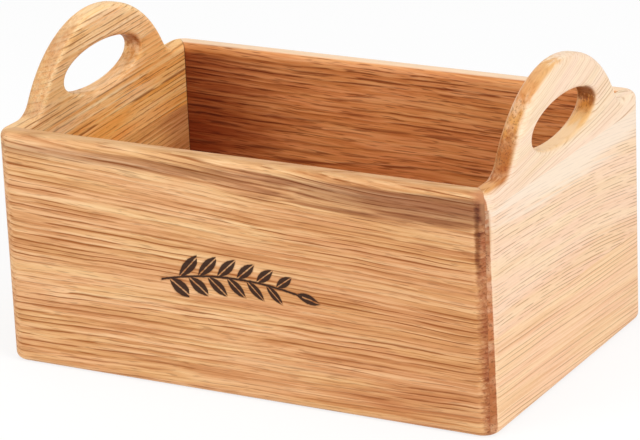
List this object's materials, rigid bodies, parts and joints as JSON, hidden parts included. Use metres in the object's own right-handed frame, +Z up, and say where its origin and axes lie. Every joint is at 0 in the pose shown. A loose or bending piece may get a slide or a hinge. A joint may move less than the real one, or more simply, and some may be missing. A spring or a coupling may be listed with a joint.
{
  "type": "condiment holder",
  "caption": "Open-topped oak caddy with mitred corners and an arched handle with an oval hand hole at each end, for carrying sauce bottles and jars to the table.",
  "frame": {"origin": "on the table plane, under the middle of the caddy", "axes": "+X along the long walls towards the right end, +Y from the front wall to the back wall, +Z up"},
  "size_m": [0.24, 0.158, 0.144],
  "materials": {
    "front_oak": "oiled oak, satin, grain along the board",
    "back_oak": "oiled oak, satin, grain along the board",
    "right_end_oak": "oiled oak, satin, pale staves with level grain",
    "left_end_oak": "oiled oak, satin, staves with level grain",
    "base_oak": "oiled oak, satin",
    "spline_oak": "planed oak, unfinished"
  },
  "bodies": {
    "root": {"front_board": "front_oak", "back_board": "back_oak", "right_end_lower_stave": "right_end_oak", "right_end_middle_stave": "right_end_oak", "right_end_handle_stave": "right_end_oak", "left_end_lower_stave": "left_end_oak", "left_end_middle_stave": "left_end_oak", "left_end_handle_stave": "left_end_oak", "base_panel": "base_oak", "front_left_spline": "spline_oak", "front_right_spline": "spline_oak", "back_left_spline": "spline_oak", "back_right_spline": "spline_oak"}
  },
  "joints": []
}
